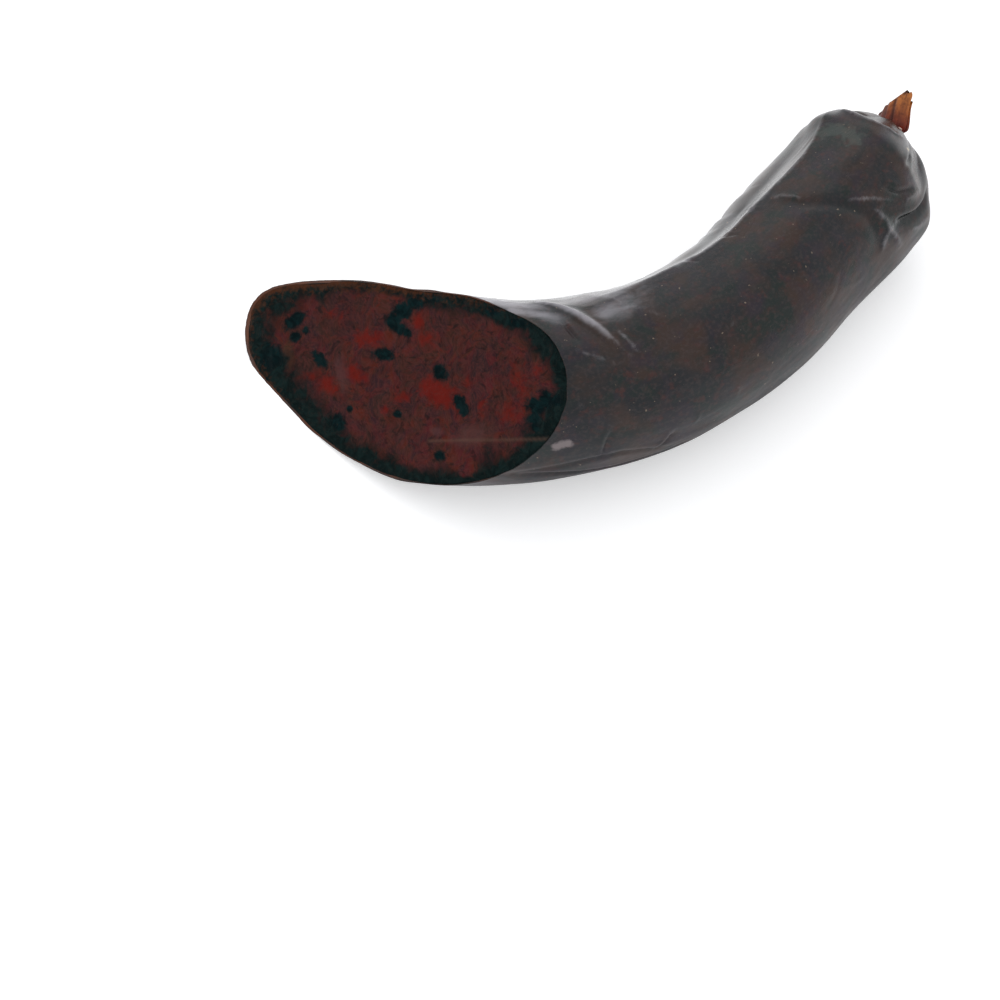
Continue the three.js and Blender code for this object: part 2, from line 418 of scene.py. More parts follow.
def set_floats(mesh, name, values):
    layer = mesh.attributes.new(name, "FLOAT", "POINT")
    layer.data.foreach_set("value", np.asarray(values, dtype=np.float32))


def set_vectors(mesh, name, values):
    layer = mesh.attributes.new(name, "FLOAT_VECTOR", "POINT")
    layer.data.foreach_set("vector", np.asarray(values, dtype=np.float32).ravel())


def face_outwards(bm):
    """Turns every face outwards; a closed mesh that is inside out has a volume below 0."""
    bmesh.ops.recalc_face_normals(bm, faces=bm.faces[:])
    if bm.calc_volume(signed=True) < 0:
        bmesh.ops.reverse_faces(bm, faces=bm.faces[:])


# ---------------------------------------------------------------- node helpers
def feed(tree, socket, value):
    """Gives a socket its value: a plain one, or the output of another node."""
    if hasattr(value, "is_linked"):
        tree.links.new(value, socket)
    else:
        socket.default_value = value


def feed_node(tree, node, **values):
    """Feeds the sockets of a node by name, with _ for a space."""
    for label, value in values.items():
        feed(tree, node.inputs[label.replace("_", " ")], value)
    return node


def noise(tree, vector, scale, detail, roughness, distortion):
    node = tree.nodes.new("ShaderNodeTexNoise")
    feed_node(tree, node, Vector=vector, Scale=scale, Detail=detail)
    feed_node(tree, node, Roughness=roughness, Distortion=distortion)
    return node.outputs["Fac"]


def maths(tree, operation, *values):
    node = tree.nodes.new("ShaderNodeMath")
    node.operation = operation
    for socket, value in zip(node.inputs, values):
        feed(tree, socket, value)
    return node.outputs[0]


def ranged(tree, value, low, high, to_low=0.0, to_high=1.0):
    node = tree.nodes.new("ShaderNodeMapRange")
    node.interpolation_type = "SMOOTHSTEP"
    feed_node(tree, node, Value=value, From_Min=low, From_Max=high, To_Min=to_low, To_Max=to_high)
    return node.outputs["Result"]


def blend_colours(tree, share, first, second):
    node = tree.nodes.new("ShaderNodeMix")
    node.data_type = "RGBA"
    feed(tree, node.inputs[0], share)
    for socket, colour in ((node.inputs[6], first), (node.inputs[7], second)):
        feed(tree, socket, (*colour, 1) if isinstance(colour, tuple) else colour)
    return node.outputs[2]


def layered(tree, colour, *layers):
    """Lays colours over a first one, each through a mask and at a strength."""
    for mask, strength, shade in layers:
        colour = blend_colours(tree, maths(tree, "MULTIPLY", mask, strength), colour, shade)
    return colour


def mapped(tree, vector, scale):
    node = tree.nodes.new("ShaderNodeMapping")
    return feed_node(tree, node, Vector=vector, Scale=scale).outputs["Vector"]


def attribute(tree, name, output="Fac"):
    node = tree.nodes.new("ShaderNodeAttribute")
    node.attribute_name = name
    return node.outputs[output]


def node_group(name, result, **defaults):
    """An empty shader node group: a vector and named numbers in, one number out."""
    tree = bpy.data.node_groups.new(name, "ShaderNodeTree")
    tree.interface.new_socket(name="Vector", in_out="INPUT", socket_type="NodeSocketVector")
    for label, default in defaults.items():
        label = label.replace("_", " ")
        socket = tree.interface.new_socket(name=label, in_out="INPUT", socket_type="NodeSocketFloat")
        socket.default_value = default
    tree.interface.new_socket(name=result, in_out="OUTPUT", socket_type="NodeSocketFloat")
    given = tree.nodes.new("NodeGroupInput").outputs
    return tree, given, tree.nodes.new("NodeGroupOutput").inputs[result]


def make_patches_group():
    """Patches: a mask of uneven patches of one size, with a soft or hard edge."""
    tree, given, mask = node_group("Patches", "Mask", Scale=60, Detail=3, Distortion=0.4, Low=0.42, High=0.62)
    field = noise(tree, given["Vector"], given["Scale"], given["Detail"], 0.55, given["Distortion"])
    feed(tree, mask, ranged(tree, field, given["Low"], given["High"]))
    return tree


def make_ragged_group():
    """Ragged edge: turns a smooth mask on the mesh into one with a torn, fibrous edge."""
    numbers = {"Mask": 0, "Scale": 700, "Tear": 0.5, "Level": 0.4, "Softness": 0.12}
    tree, given, mask = node_group("Ragged edge", "Mask", **numbers)
    tear = maths(tree, "SUBTRACT", noise(tree, given["Vector"], given["Scale"], 4.0, 0.6, 0.6), 0.5)
    torn = maths(tree, "MULTIPLY_ADD", tear, given["Tear"], given["Mask"])
    low = maths(tree, "SUBTRACT", given["Level"], given["Softness"])
    high = maths(tree, "ADD", given["Level"], given["Softness"])
    feed(tree, mask, ranged(tree, torn, low, high))
    return tree


def make_grain_group():
    """Grain: the height of a fine uneven surface, as coarse lumps with finer ones on them."""
    tree, given, height = node_group("Grain", "Height", Coarse=400, Fine=1600, Fine_share=0.4, Distortion=0.5)
    coarse = noise(tree, given["Vector"], given["Coarse"], 3.0, 0.55, given["Distortion"])
    fine = noise(tree, given["Vector"], given["Fine"], 3.0, 0.6, given["Distortion"])
    feed(tree, height, maths(tree, "MULTIPLY_ADD", fine, given["Fine share"], coarse))
    return tree


def make_strands_group():
    """Strands: thin curved lines, like the fibres of cut meat."""
    tree, given, mask = node_group("Strands", "Mask", Scale=300, Distortion=1.5, Width=0.02)
    field = noise(tree, given["Vector"], given["Scale"], 2.0, 0.5, given["Distortion"])
    off = maths(tree, "ABSOLUTE", maths(tree, "SUBTRACT", field, 0.5))
    feed(tree, mask, ranged(tree, off, 0.0, given["Width"], 1.0, 0.0))
    return tree


PATCHES = make_patches_group()
STRANDS = make_strands_group()
RAGGED = make_ragged_group()
GRAIN = make_grain_group()


def placed_group(tree, group, vector, **values):
    """Places a node group in a material with its own values, and returns its output."""
    node = tree.nodes.new("ShaderNodeGroup")
    node.node_tree = group
    return feed_node(tree, node, Vector=vector, **values).outputs[0]


def patches(tree, vector, scale, detail, low, high, distortion=0.4):
    """A mask of uneven patches, from 0 where their noise is below low to 1 above high."""
    values = {"Scale": scale, "Detail": detail, "Distortion": distortion, "Low": low, "High": high}
    return placed_group(tree, PATCHES, vector, **values)


def ragged(tree, vector, name, scale, tear, level, softness):
    """A mask of the mesh, by its name, with a torn edge."""
    values = {"Scale": scale, "Tear": tear, "Level": level, "Softness": softness}
    return placed_group(tree, RAGGED, vector, Mask=attribute(tree, name), **values)


def grained(tree, surface, vector, coarse, fine, fine_share, strength, distance, distortion=0.5):
    """Gives a surface fine bumps, distance metres high."""
    values = {"Coarse": coarse, "Fine": fine, "Fine share": fine_share, "Distortion": distortion}
    height = placed_group(tree, GRAIN, vector, **values)
    bump = tree.nodes.new("ShaderNodeBump")
    feed_node(tree, bump, Height=height, Strength=strength, Distance=distance)
    feed_node(tree, surface, Normal=bump.outputs["Normal"])


def new_material(name):
    material = bpy.data.materials.new(name)
    material.use_nodes = True
    tree = material.node_tree
    return material, tree, tree.nodes["Principled BSDF"]


# ---------------------------------------------------------------- materials
def make_gut_over_meat():
    """Thin dried gut, drawn tight over dark meat that shows through it."""
    material, tree, surface = new_material("dried gut over meat")
    straight = attribute(tree, "straight", "Vector")
    stretched = mapped(tree, straight, (0.5, 1, 1))
    for_green = mapped(tree, straight, (1, 1.2, 1.1))
    for_purple = mapped(tree, straight, (1.2, 1.1, 1))
    for_red = mapped(tree, straight, (1.1, 1, 1.2))
    brown = patches(tree, straight, scale=85, detail=7, low=0.4, high=0.62)
    green = patches(tree, for_green, scale=130, detail=7, low=0.47, high=0.64)
    purple = patches(tree, for_purple, scale=110, detail=7, low=0.48, high=0.66)
    red = patches(tree, for_red, scale=420, detail=6, low=0.52, high=0.76, distortion=0.1)
    cloudy = patches(tree, stretched, scale=120, detail=6, low=0.38, high=0.72)
    freckles = patches(tree, straight, scale=1100, detail=3, low=0.45, high=0.72, distortion=0.2)
    specks = patches(tree, straight, scale=900, detail=1, low=0.745, high=0.79, distortion=0)
    amber = patches(tree, straight, scale=60, detail=2, low=0.35, high=0.6)
    ridge_highlight = ragged(tree, straight, "ridge_highlight", scale=420, tear=1.4, level=0.8, softness=0.62)
    broad_highlight = ragged(tree, stretched, "broad_highlight", scale=240, tear=0.8, level=0.62, softness=0.46)
    fat = ragged(tree, straight, "fat", scale=700, tear=0.9, level=0.48, softness=0.26)
    underfat = ragged(tree, straight, "underfat", scale=330, tear=1.6, level=0.62, softness=0.22)
    yellow_glint = ragged(tree, straight, "yellow_glint", scale=700, tear=0.4, level=0.5, softness=0.2)
    edge = ragged(tree, straight, "edge", scale=450, tear=0.5, level=0.5, softness=0.25)
    dull = attribute(tree, "dull")
    meat = blend_colours(tree, brown, (0.006, 0.0078, 0.0095), (0.029, 0.0135, 0.008))
    edge_colour = blend_colours(tree, amber, (0.03, 0.017, 0.013), (0.1, 0.027, 0.008))
    colour = layered(
        tree, meat,
        (green, 0.9, (0.003, 0.0105, 0.0085)),
        (purple, 0.7, (0.0165, 0.0095, 0.0175)),
        (red, 0.75, (0.05, 0.013, 0.0095)),
        (cloudy, 0.25, (0.028, 0.026, 0.032)),
        (dull, 0.35, (0.017, 0.017, 0.024)),
        (freckles, 0.38, (0.05, 0.034, 0.032)),
        # painted highlight on the crests, lips and rings of the skin
        (ridge_highlight, 0.6, (0.3, 0.285, 0.3)),
        # painted highlight in broad pale patches
        (broad_highlight, 0.8, (0.36, 0.345, 0.375)),
        (underfat, 0.5, (0.05, 0.066, 0.056)),
        # painted shade in the creases
        (attribute(tree, "dark"), 0.75, (0.004, 0.004, 0.005)),
        (specks, 0.6, (0.24, 0.18, 0.13)),
        (fat, 1.0, (0.155, 0.128, 0.13)),
        # painted highlight: a small yellow glint
        (yellow_glint, 1.0, (0.4, 0.32, 0.18)),
        (edge, 1.0, edge_colour),
    )
    worn = maths(tree, "MULTIPLY_ADD", cloudy, 0.14, 0.22)
    worn = maths(tree, "MULTIPLY_ADD", edge, 0.15, worn)
    worn = maths(tree, "MULTIPLY_ADD", dull, 0.3, worn)
    shine = maths(tree, "MULTIPLY_ADD", cloudy, -0.25, 1.0)
    shine = maths(tree, "MULTIPLY", attribute(tree, "tight"), shine)
    feed_node(tree, surface, Base_Color=colour, Roughness=worn, IOR=1.46, Specular_IOR_Level=0.33)
    feed_node(tree, surface, Coat_Weight=shine, Coat_Roughness=0.26, Coat_IOR=1.5)
    grained(tree, surface, stretched, coarse=520, fine=2100, fine_share=0.35, distortion=0.7,
            strength=0.3, distance=0.00018)
    return material


def make_cured_meat():
    """Cured meat as the knife left it: fibres and lumps of red, black and pale bits, and a dried crust."""
    material, tree, surface = new_material("cured meat")
    place = tree.nodes.new("ShaderNodeTexCoord").outputs["Object"]
    swirl = feed_node(tree, tree.nodes.new("ShaderNodeTexNoise"), Vector=place, Scale=130, Detail=1)
    pull = tree.nodes.new("ShaderNodeVectorMath")
    pull.operation = "MULTIPLY_ADD"
    for socket, value in zip(pull.inputs, (swirl.outputs["Color"], (0.007, 0.007, 0.007), place)):
        feed(tree, socket, value)
    swirled = pull.outputs["Vector"]
    drawn_out = mapped(tree, swirled, (1.0, 0.28, 0.6))
    fibres = patches(tree, drawn_out, scale=1500, detail=4, low=0.38, high=0.64, distortion=1.4)
    lumps = patches(tree, swirled, scale=260, detail=5, low=0.42, high=0.6, distortion=0.9)
    shade = patches(tree, swirled, scale=150, detail=4, low=0.4, high=0.62, distortion=0.6)
    crumbs = patches(tree, swirled, scale=620, detail=3, low=0.54, high=0.68, distortion=0.6)
    hue = patches(tree, swirled, scale=190, detail=5, low=0.4, high=0.6, distortion=0.8)
    teal = patches(tree, swirled, scale=420, detail=4, low=0.4, high=0.66, distortion=0.8)
    strands = placed_group(tree, STRANDS, swirled, Scale=340, Distortion=1.6, Width=0.022)
    bright = ragged(tree, place, "bright", scale=420, tear=1.3, level=0.62, softness=0.36)
    pale = ragged(tree, place, "pale", scale=380, tear=0.9, level=0.5, softness=0.3)
    amber = ragged(tree, place, "amber", scale=500, tear=0.7, level=0.4, softness=0.2)
    black = ragged(tree, place, "black", scale=520, tear=1.0, level=0.42, softness=0.19)
    crust = ragged(tree, place, "crust", scale=300, tear=1.3, level=0.5, softness=0.22)
    dusk = ragged(tree, place, "crust", scale=220, tear=1.2, level=0.3, softness=0.35)
    rust = ragged(tree, place, "rust", scale=800, tear=1.5, level=0.55, softness=0.35)
    lean = blend_colours(tree, hue, (0.034, 0.012, 0.015), (0.04, 0.015, 0.0105))
    fresh = blend_colours(tree, hue, (0.068, 0.011, 0.013), (0.076, 0.014, 0.0085))
    crust_colour = blend_colours(tree, teal, (0.0022, 0.0066, 0.0066), (0.005, 0.0138, 0.0132))
    crust_colour = layered(tree, crust_colour, (strands, 0.35, (0.02, 0.019, 0.015)))
    black_colour = blend_colours(tree, teal, (0.0009, 0.0056, 0.0066), (0.0022, 0.013, 0.014))
    colour = layered(
        tree, blend_colours(tree, lumps, lean, fresh),
        (shade, 0.5, (0.021, 0.013, 0.0125)),
        (fibres, 0.5, (0.085, 0.025, 0.022)),
        (crumbs, 0.6, (0.0095, 0.0065, 0.0065)),
        (bright, 0.85, (0.125, 0.0085, 0.005)),
        (pale, 0.55, (0.085, 0.034, 0.033)),
        (strands, 0.26, (0.07, 0.03, 0.025)),
        (amber, 0.65, (0.07, 0.03, 0.016)),
        (dusk, 0.6, (0.009, 0.0078, 0.007)),
        (crust, 1.0, crust_colour),
        (black, 1.0, black_colour),
        (attribute(tree, "knife"), 0.45, (0.1, 0.055, 0.04)),
        (rust, 0.6, (0.1, 0.029, 0.01)),
    )
    rough = maths(tree, "MULTIPLY_ADD", fibres, 0.18, 0.42)
    rough = maths(tree, "MULTIPLY_ADD", black, -0.1, rough)
    feed_node(tree, surface, Base_Color=colour, Roughness=rough, Specular_IOR_Level=0.03)
    grained(tree, surface, swirled, coarse=620, fine=1900, fine_share=0.6, distortion=1.0,
            strength=0.55, distance=0.0003)
    return material


def make_dried_gut():
    """Bare dried gut, amber and horny where it stands free of the meat."""
    material, tree, surface = new_material("bare dried gut")
    place = tree.nodes.new("ShaderNodeTexCoord").outputs["Object"]
    root_to_tip = ranged(tree, attribute(tree, "share"), 0.05, 0.85)
    streaks = patches(tree, mapped(tree, place, (1, 1, 0.22)), scale=700, detail=4, low=0.4, high=0.62)
    colour = layered(
        tree, blend_colours(tree, root_to_tip, (0.17, 0.014, 0.004), (0.46, 0.15, 0.03)),
        (streaks, 0.5, (0.075, 0.011, 0.005)),
        # painted shade in the valleys between the pleats
        (attribute(tree, "pleat_shade"), 0.75, (0.04, 0.006, 0.003)),
        # painted shade on one flank of the tail
        (attribute(tree, "flank_shade"), 0.5, (0.15, 0.105, 0.1)),
    )
    rough = maths(tree, "MULTIPLY_ADD", streaks, 0.2, 0.3)
    feed_node(tree, surface, Base_Color=colour, Roughness=rough, Specular_IOR_Level=0.3)
    drawn_out = mapped(tree, place, (1, 1, 0.3))
    grained(tree, surface, drawn_out, coarse=900, fine=2600, fine_share=0.4, strength=0.4, distance=0.0002)
    return material


def make_thread_cotton():
    """Cotton thread, stained pink by the brine."""
    material, tree, surface = new_material("stained cotton")
    place = tree.nodes.new("ShaderNodeTexCoord").outputs["Object"]
    stain = patches(tree, place, scale=500, detail=3, low=0.35, high=0.7)
    colour = blend_colours(tree, stain, (0.62, 0.46, 0.4), (0.36, 0.18, 0.14))
    feed_node(tree, surface, Base_Color=colour, Roughness=0.85)
    grained(tree, surface, place, coarse=4000, fine=9000, fine_share=0.5, strength=0.4, distance=0.0001)
    return material


def make_floor_paper():
    """White paper with a little light from below, as on a light table."""
    material, tree, surface = new_material("floor")
    feed_node(tree, surface, Base_Color=(0.90, 0.90, 0.90, 1), Roughness=0.7, Specular_IOR_Level=0.2)
    feed_node(tree, surface, Emission_Color=(1, 1, 1, 1), Emission_Strength=0.36)
    return material


# ---------------------------------------------------------------- camera, floor and light
VIEW_RISE = math.radians(58)
VIEW_DISTANCE = 0.6044
VIEW_AIM = Vector(((cut_middle[0] + 16.1) * MM, (cut_middle[1] - 18.3) * MM, 0))
LENS = 84.7


def make_camera():
    camera = bpy.data.objects.new("camera", bpy.data.cameras.new("camera"))
    bpy.context.scene.collection.objects.link(camera)
    camera.data.lens = LENS
    camera.data.clip_start = 0.05
    back = Vector((0, -math.cos(VIEW_RISE), math.sin(VIEW_RISE)))
    camera.location = VIEW_AIM + back * VIEW_DISTANCE
    camera.rotation_euler = (math.pi / 2 - VIEW_RISE, 0, 0)
    bpy.context.scene.camera = camera


def make_floor():
    bm = bmesh.new()
    bmesh.ops.create_grid(bm, x_segments=1, y_segments=1, size=3.0)
    floor = to_object(bm, "floor", make_floor_paper(), smooth_faces=False)


def make_soft_light(name, azimuth, rise, distance, size, power):
    """A square soft light that looks at the sausage from an azimuth counted from +X and a height above it."""
    light = bpy.data.lights.new(name, "AREA")
    light.shape = "SQUARE"
    light.size = size
    light.energy = power
    lamp = bpy.data.objects.new(name, light)
    bpy.context.scene.collection.objects.link(lamp)
    a, e = math.radians(azimuth), math.radians(rise)
    way = Vector((math.cos(a) * math.cos(e), math.sin(a) * math.cos(e), math.sin(e)))
    lamp.location = way * distance
    lamp.rotation_euler = way.to_track_quat("Z", "Y").to_euler()


def make_light():
    world = bpy.data.worlds.new("studio")
    world.use_nodes = True
    feed_node(world.node_tree, world.node_tree.nodes["Background"], Color=(0.97, 0.98, 1.0, 1), Strength=1.0)
    bpy.context.scene.world = world
    make_soft_light("back", azimuth=100, rise=50, distance=1.25, size=0.9, power=1.3)
    bpy.context.scene.view_settings.view_transform = "Standard"


# ---------------------------------------------------------------- the skin
SKIN_WALL = 0.25
LINING_DEPTH = 2.6  # how deep the hidden inner side of the skin runs, below every fold
FAT_SPOT = ([(26.6, 17.9), (27.8, 18.9), (29.0, 19.1)], 0.95)
# Where the skin is drawn tight and shines: beyond this line, from the cut to the tied end
TIGHT_LINE = [
    (-20, 150), (12, 136), (30, 124), (40, 112), (48, 112), (58, 119), (66, 121.5), (79, 119.5), (97, 120.5),
    (116, 118.5), (126, 119.5), (134, 124), (142, 130), (150, 138),
]
# Painted highlight: broad pale patches on the skin near the cut and along the ridge, standing in for light:
# route, reach, strength
BROAD_HIGHLIGHTS = [
    ([(2, 138), (14, 132), (24, 124), (34, 112)], 3.4, 1.0),
    ([(20, 118), (27, 112), (36, 98)], 2.4, 0.75),
    ([(36, 124), (46, 120), (60, 125), (74, 127)], 3.5, 0.6),
    ([(44, 104), (54, 106), (64, 112)], 4.0, 0.55),
    ([(72, 124), (86, 125), (100, 126), (112, 126)], 2.0, 0.5),
    ([(28, 128), (32, 120), (36.7, 107), (41, 91), (44.5, 72)], 1.2, 0.85),
]
UNDERFAT = ([(136, 119), (137.5, 112), (137.5, 103), (136.5, 97)], 3.0)
# A painted highlight: a small pale yellow glint on the skin near the foot of the tail: route, reach
YELLOW_GLINT = ([(147.4, 58), (148.1, 55)], 0.45)


def skin_stations(rim):
    """Along each line of the skin: out over the body to the neck, as far apart as the folds need."""
    body = np.linspace(0, 1, SKIN_STEPS, endpoint=False)[:, None] ** 1.12
    over_body = rim + (DOME_START - rim) * body
    turn = np.linspace(0, math.pi / 2, DOME_STEPS + 1)[:, None]
    over_dome = DOME_START + DOME_LENGTH * np.sin(turn) + 0 * rim
    return np.concatenate([over_body, over_dome])


def lining(around, least, most):
    """A hidden side, from close behind the cut to the tied end: its stations and its places."""
    stations, insets = [], []
    for step in LINING_EDGE:
        inset = least + (most - least) * float(smooth(np.array(step), LINING_EDGE[0], LINING_EDGE[-1]))
        stations.append(rim_along(around, inset) + step)
        insets.append(inset)
    last = stations[-1]
    rest = np.linspace(0, 1, LINING_STEPS + 1)[1:]
    turn = np.linspace(0, math.pi / 2, LINING_DOME_STEPS + 1)[1:]
    stations += [last + (DOME_START - last) * share for share in rest]
    stations += [DOME_START + (DOME_LENGTH - 2 * LINING_DEPTH) * np.sin(t) + 0 * around for t in turn]
    insets += [most] * (LINING_STEPS + LINING_DOME_STEPS)
    behind = [*LINING_EDGE, *(LINING_EDGE[-1] + 10 * rest), *(20 + turn)]  # a rough distance behind the rim
    stations, behind = np.array(stations), np.array(behind)[:, None]
    around = np.broadcast_to(around, stations.shape)
    broad = swell(stations, around)
    near_rim = 1 - smooth(behind, 1.0, LINING_EDGE[-1])
    stand = broad + (relief(stations, around)[0] - broad) * near_rim
    places = skin_places(stations, around, np.array(insets)[:, None], stand)
    clear = np.minimum(0.5 * behind, 1.5)  # nothing hidden may come out through the cut
    over = np.maximum((places - cut_middle) @ cut_facing + clear, 0)
    return stations, places - over[..., None] * cut_facing


def lathe_angles():
    return np.degrees((np.arange(SIDES) + 0.5) / SIDES * TURN) - 180


def make_skin(material):
    """The gut over the body: outer side, cut edge and the hidden inner side, as one closed sheet."""
    around = lathe_angles()
    rim = rim_along(around)
    rim_places = straight_places(rim, around)
    proud = 0.14 + 0.07 * ripple(rim_places, 9, 21) + 0.05 * ripple(rim_places, 2, 22)
    outer_rim = rim - np.clip(proud, 0.02, 0.4)
    outer = skin_stations(outer_rim)
    around_outer = np.broadcast_to(around, outer.shape)
    stand, ridge_highlight, dark = relief(outer, around_outer)
    behind_rim = outer - outer_rim
    peel = 0.12 * (1 + ripple(rim_places, 14, 23)) * np.exp(-behind_rim / 1.2)
    outer_places = skin_places(outer, around_outer, 0.0, stand + peel)
    inner, inner_places = lining(around, SKIN_WALL, LINING_DEPTH)
    around_inner = np.broadcast_to(around, inner.shape)
    bm, order = ringed_tube(np.concatenate([outer_places[::-1], inner_places]))
    face_outwards(bm)
    piece = to_object(bm, "casing_skin", material)
    mesh = piece.data

    def spread(outer_values, inner_values):
        """Values of both sides, in the order of the vertices."""
        rings = np.concatenate([outer_values[::-1], inner_values])
        values = np.zeros((order.size,) + rings.shape[2:])
        values[order] = rings.reshape(values.shape)
        return values

    def off_route(route):
        apart, _, passed = nearest_on_route(outer.ravel(), around_outer.ravel(), route)
        return apart.reshape(outer.shape), passed.reshape(outer.shape)

    straight = spread(straight_places(outer, around_outer), straight_places(inner, around_inner))
    set_vectors(mesh, "straight", straight * MM)
    hidden = np.zeros_like(inner)
    left_side = 0.35 + 0.65 * near_side(around, -150, 75)
    set_floats(mesh, "edge", spread(left_side * np.exp(-behind_rim / 0.8), hidden + 0.6))
    turned = (around_outer + 60) % 360 - 60
    beyond = np.radians(turned - np.interp(outer, *np.array(TIGHT_LINE).T)) * WAIST_RADIUS
    tight = smooth(beyond, -0.4, 0.7) * (1 - smooth(beyond, 9, 30))
    masks = {
        # painted highlight on crests, lips and rings
        "ridge_highlight": ridge_highlight,
        # painted shade in the creases
        "dark": np.clip(dark, 0, 1),
        "tight": tight * (0.9 - 0.8 * smooth(outer, 108, 136)),
        "dull": near_side(around_outer, -32, 38) * smooth(outer, 0, 20),
        "broad_highlight": np.zeros_like(outer),
    }
    # painted highlight in broad patches along these routes
    for route, reach, strength in BROAD_HIGHLIGHTS:
        apart, passed = off_route(route)
        spot = strength * (1 - 0.9 * passed ** 3) * hump(apart, reach)
        masks["broad_highlight"] = np.maximum(masks["broad_highlight"], spot)
    # the fat spot, the fat under the skin, and the painted yellow glint
    for name, (route, reach) in (("fat", FAT_SPOT), ("underfat", UNDERFAT), ("yellow_glint", YELLOW_GLINT)):
        masks[name] = np.clip(1 - off_route(route)[0] / (2 * reach), 0, 1)
    for name, values in masks.items():
        set_floats(mesh, name, spread(values, hidden))
    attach(piece, "root")
    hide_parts("casing")
    return piece


# ---------------------------------------------------------------- the meat
# Bits in the cut face: across and up the face from its middle, half length, half width, and turn
BLACK_BITS = [
    (-16, 17.3, 1.6, 1.2, 40), (-18.3, 14.8, 2.0, 1.6, 40), (-20, 12, 2.3, 1.8, 40),
    (-21.3, 8.5, 2.5, 2.0, 40), (-21.8, 4.8, 2.4, 1.9, 40), (-19, 4.5, 2.2, 1.6, 30),
    (-16.6, 5.2, 1.3, 1.1, 0), (-18.9, -3.9, 3.0, 1.5, 37), (-33.8, -17.6, 2.9, 1.3, 0),
    (-2.3, 4, 2.1, 1.8, 0), (8.2, 1.9, 2.9, 1.6, 164), (25.1, 15.8, 2.5, 2.0, 35), (26.4, 19, 2.3, 1.9, 35),
    (28.8, 20.8, 1.6, 1.3, 30), (26.6, 13.2, 1.9, 1.5, 30), (28.2, 12, 1.2, 1.0, 20),
    (-0.2, 25.8, 2.1, 1.4, 40), (7.9, 28, 2.8, 1.1, 40), (-47, -15.6, 3.0, 1.7, 68),
    (-44, -18.3, 1.6, 1.3, 30), (-42.4, -15, 1.1, 0.9, 20), (-18, -26, 2.5, 1.7, 175),
    (-17.7, -21, 1.0, 0.8, 30), (12, -11.7, 1.6, 1.2, 0), (-5.2, -12.3, 1.1, 0.9, 40),
    (-46.5, -27.5, 3.7, 2.8, 38),
]
BRIGHT_BITS = [
    (0.9, -0.2, 5.4, 2.8, 21, 1.35), (-25.3, -3.6, 4.5, 2.3, 37, 1.1), (-27.5, -20.8, 4.4, 2.2, 11, 1.1),
    (-22, -12.9, 3.5, 2.0, 8, 1.1), (-15.8, 9.7, 2.6, 1.6, 133, 1.0), (-11, 8, 4.3, 2.0, 38, 0.85),
    (-6.7, -7.9, 2.5, 2.0, 34, 0.95), (17.8, 17.5, 4.5, 3.3, 133, 0.8), (6, 7.6, 3.0, 1.8, 38, 0.75),
    (-33, -22.8, 5.2, 1.6, 39, 0.8), (21, 9.7, 3.5, 2.8, 31, 0.85), (-8.3, -13.6, 1.8, 1.5, 38, 0.7),
    (13.2, 5.8, 3.0, 2.2, 136, 0.7), (-37.4, -5.4, 5.8, 1.8, 38, 0.65), (20, 22, 3.0, 1.8, 60, 0.7),
]
PALE_BITS = [(-25.5, -15.8, 4.3, 1.8, 146), (15.9, -1.7, 5.7, 2.3, 51), (7.2, -7.8, 1.8, 1.0, 39)]
AMBER_BITS = [(-42.5, -23.7, 3.0, 1.9, 136)]
KNIFE_LINE = ((7, -11), (14, -4.8), (23, 3), (34, 12.7))
KNIFE_WIDTH = 0.4
RUST_REACH = 2.2
MEAT_GAP = 0.04  # between the meat and the skin
# Thickness of the dried crust round the face, by how far round the body
CRUST_AROUND = (-180, -160, -145, -125, -100, -80, -60, -30, -5, 20, 45, 70, 100, 130, 155, 180)
CRUST_THICK = (2.2, 3.2, 6.2, 8.2, 6.8, 5.0, 4.0, 3.2, 3.9, 4.6, 3.9, 3.2, 2.6, 2.2, 2.0, 2.2)


def bit_mask(across, up, bits):
    """1 in the middle of a bit, 0.5 at its edge and falling off outside."""
    mask = np.zeros_like(across)
    for at_across, at_up, half_long, half_wide, turn, *strength in bits:
        angle = math.radians(turn)
        x, y = across - at_across, up - at_up
        long_way = (x * math.cos(angle) + y * math.sin(angle)) / half_long
        short_way = (y * math.cos(angle) - x * math.sin(angle)) / half_wide
        mask = np.maximum(mask, (1 - 0.5 * np.hypot(long_way, short_way)) * (strength or [1])[0])
    return np.clip(mask, 0, 1)


def line_mask(across, up, line, width):
    """1 on a line in the cut face, falling off over a width."""
    mask = np.zeros_like(across)
    for start, end in zip(line, line[1:]):
        way = np.subtract(end, start)
        length = np.hypot(*way)
        way = way / length
        run = np.clip((across - start[0]) * way[0] + (up - start[1]) * way[1], 0, length)
        apart = np.hypot(across - start[0] - run * way[0], up - start[1] - run * way[1])
        mask = np.maximum(mask, hump(apart, width))
    return mask


